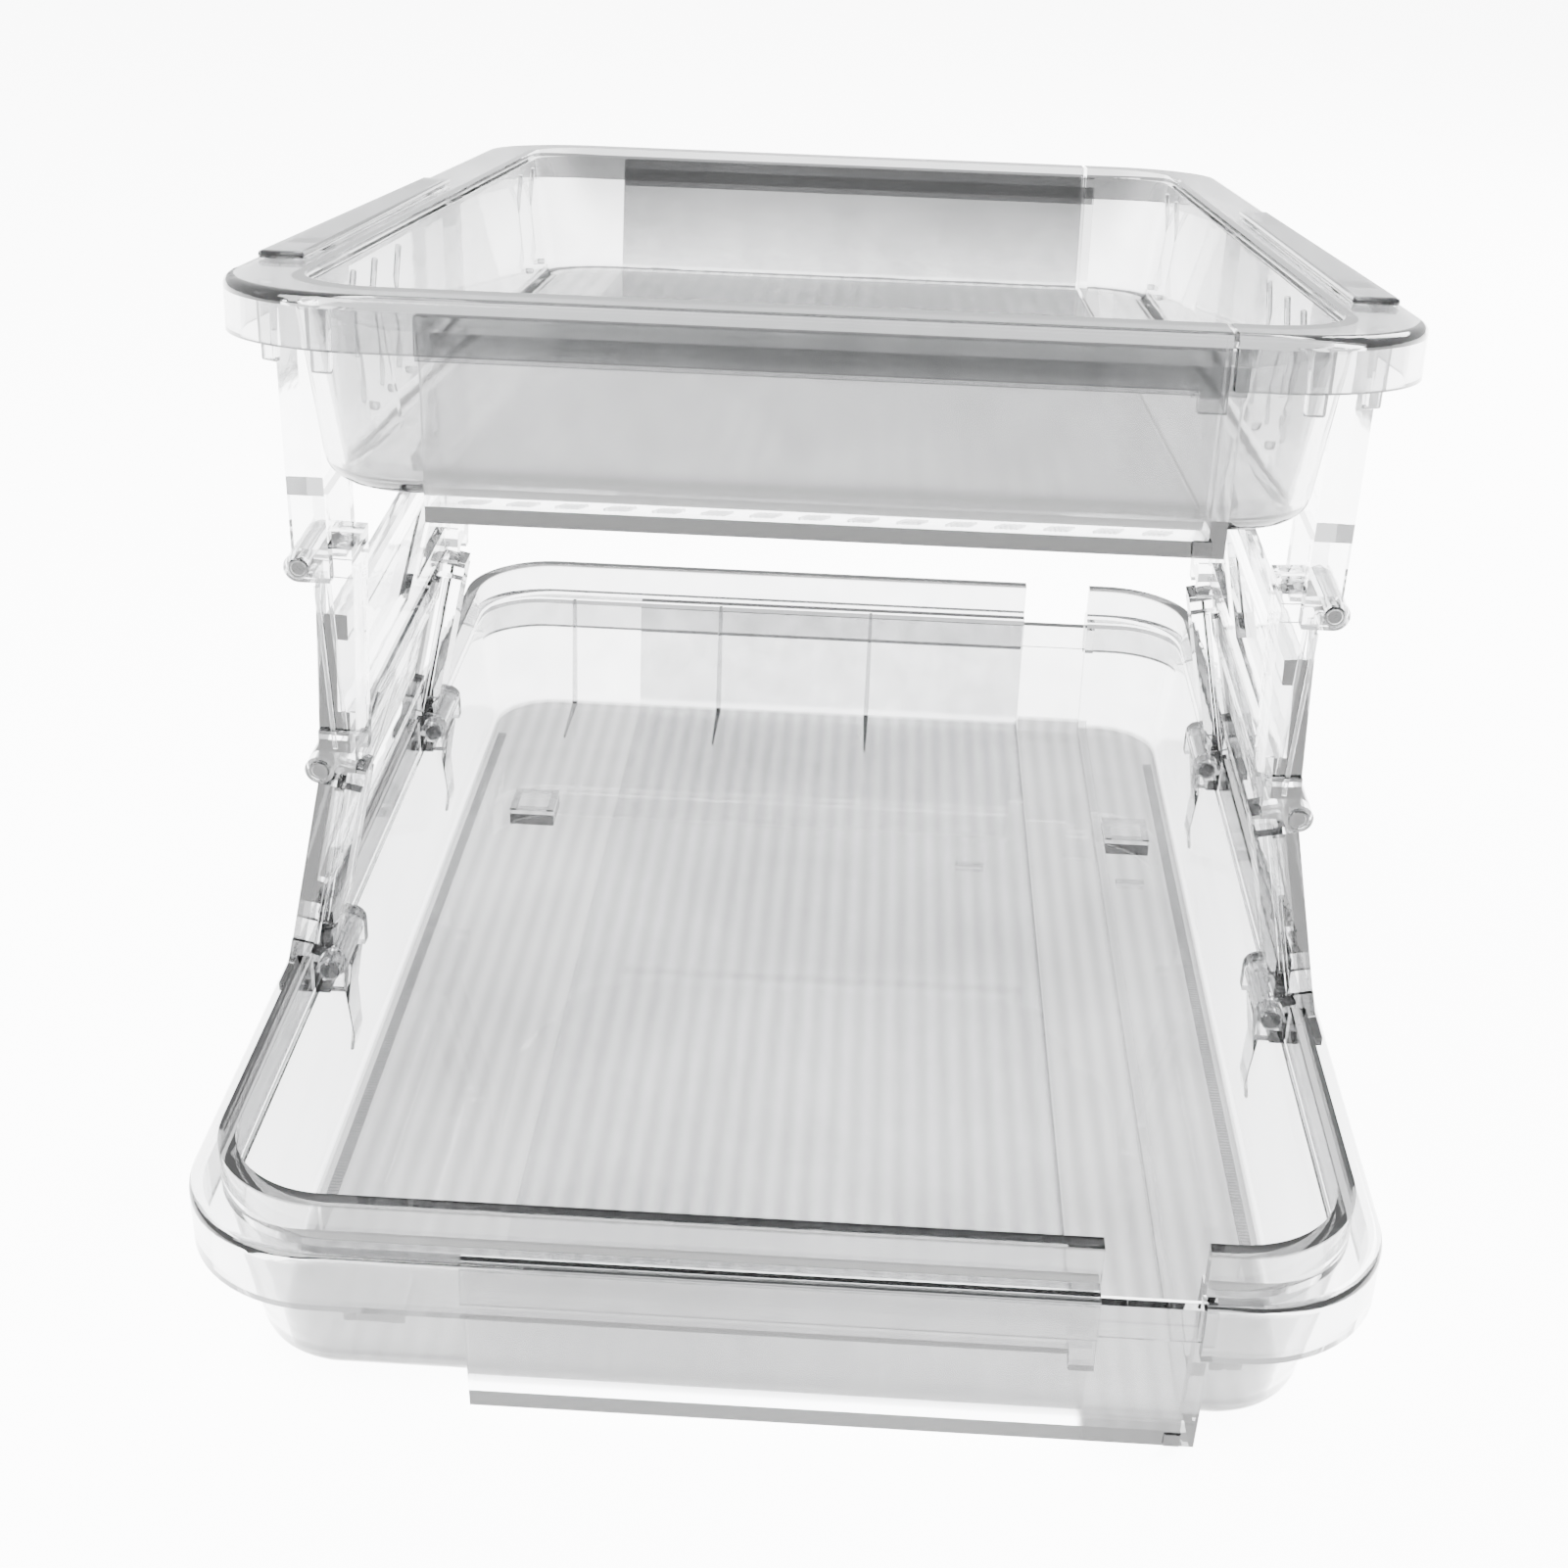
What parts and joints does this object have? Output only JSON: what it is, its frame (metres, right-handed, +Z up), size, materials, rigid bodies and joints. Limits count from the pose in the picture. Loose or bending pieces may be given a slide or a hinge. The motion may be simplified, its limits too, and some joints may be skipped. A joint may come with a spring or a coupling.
{
  "type": "foldable shoe box",
  "caption": "Clear plastic shoe box with a lower tray and a set-back upper tray that widen by sliding halves, joined by side frames that fold inwards at a knee.",
  "frame": {"origin": "on the surface it stands on, under the middle of the lower tray as shown", "axes": "+X across the width towards the sliding right half, +Y from front to back, +Z up"},
  "size_m": [0.24, 0.3781, 0.2158],
  "materials": {
    "clear_tray": "clear glossy polystyrene",
    "clear_frame": "clear glossy polystyrene, thick ribs",
    "clear_pin": "clear plastic hinge pin"
  },
  "bodies": {
    "lower_left": {"lower_left_half": "clear_tray", "left_front_hinge_block": "clear_frame", "left_rear_hinge_block": "clear_frame", "left_base_pins": "clear_pin"},
    "lower_right": {"lower_right_half": "clear_tray", "right_front_hinge_block": "clear_frame", "right_rear_hinge_block": "clear_frame", "right_base_pins": "clear_pin"},
    "left_lower_panel": {"left_lower_panel": "clear_frame", "left_knee_pins": "clear_pin"},
    "left_upper_panel": {"left_upper_panel": "clear_frame", "left_top_pins": "clear_pin"},
    "right_lower_panel": {"right_lower_panel": "clear_frame", "right_knee_pins": "clear_pin"},
    "right_upper_panel": {"right_upper_panel": "clear_frame", "right_top_pins": "clear_pin"},
    "upper_left": {"upper_left_half": "clear_tray", "left_front_hanger": "clear_frame", "left_rear_hanger": "clear_frame", "left_rim_plate": "clear_tray"},
    "upper_right": {"upper_right_half": "clear_tray", "right_front_hanger": "clear_frame", "right_rear_hanger": "clear_frame", "right_rim_plate": "clear_tray"}
  },
  "joints": [
    {"name": "left_base", "type": "hinge", "parent": "lower_left", "child": "left_lower_panel", "pos_m": [-0.106, 0, 0.048], "axis": [0, 1, 0], "range_deg": [0, 74]},
    {"name": "left_knee", "type": "hinge", "parent": "left_lower_panel", "child": "left_upper_panel", "pos_m": [-0.106, 0, 0.097], "axis": [0, 1, 0], "range_deg": [-148, 0]},
    {"name": "fold", "type": "hinge", "parent": "left_upper_panel", "child": "upper_left", "pos_m": [-0.106, 0, 0.146], "axis": [0, 1, 0], "range_deg": [0, 74]},
    {"name": "widen", "type": "slide", "parent": "lower_left", "child": "lower_right", "axis": [1, 0, 0], "range_m": [0, 0.08]},
    {"name": "upper_widen", "type": "slide", "parent": "upper_left", "child": "upper_right", "axis": [1, 0, 0], "range_m": [0, 0.08]},
    {"name": "right_base", "type": "hinge", "parent": "lower_right", "child": "right_lower_panel", "pos_m": [0.106, 0, 0.048], "axis": [0, 1, 0], "range_deg": [-74, 0]},
    {"name": "right_knee", "type": "hinge", "parent": "right_lower_panel", "child": "right_upper_panel", "pos_m": [0.106, 0, 0.097], "axis": [0, 1, 0], "range_deg": [0, 148]}
  ],
  "couplings": [
    {"joint": "left_knee", "follows": "fold", "ratio": -2},
    {"joint": "left_base", "follows": "fold", "ratio": 1},
    {"joint": "right_base", "follows": "fold", "ratio": -1},
    {"joint": "right_knee", "follows": "fold", "ratio": 2},
    {"joint": "upper_widen", "follows": "widen", "ratio": 1}
  ]
}
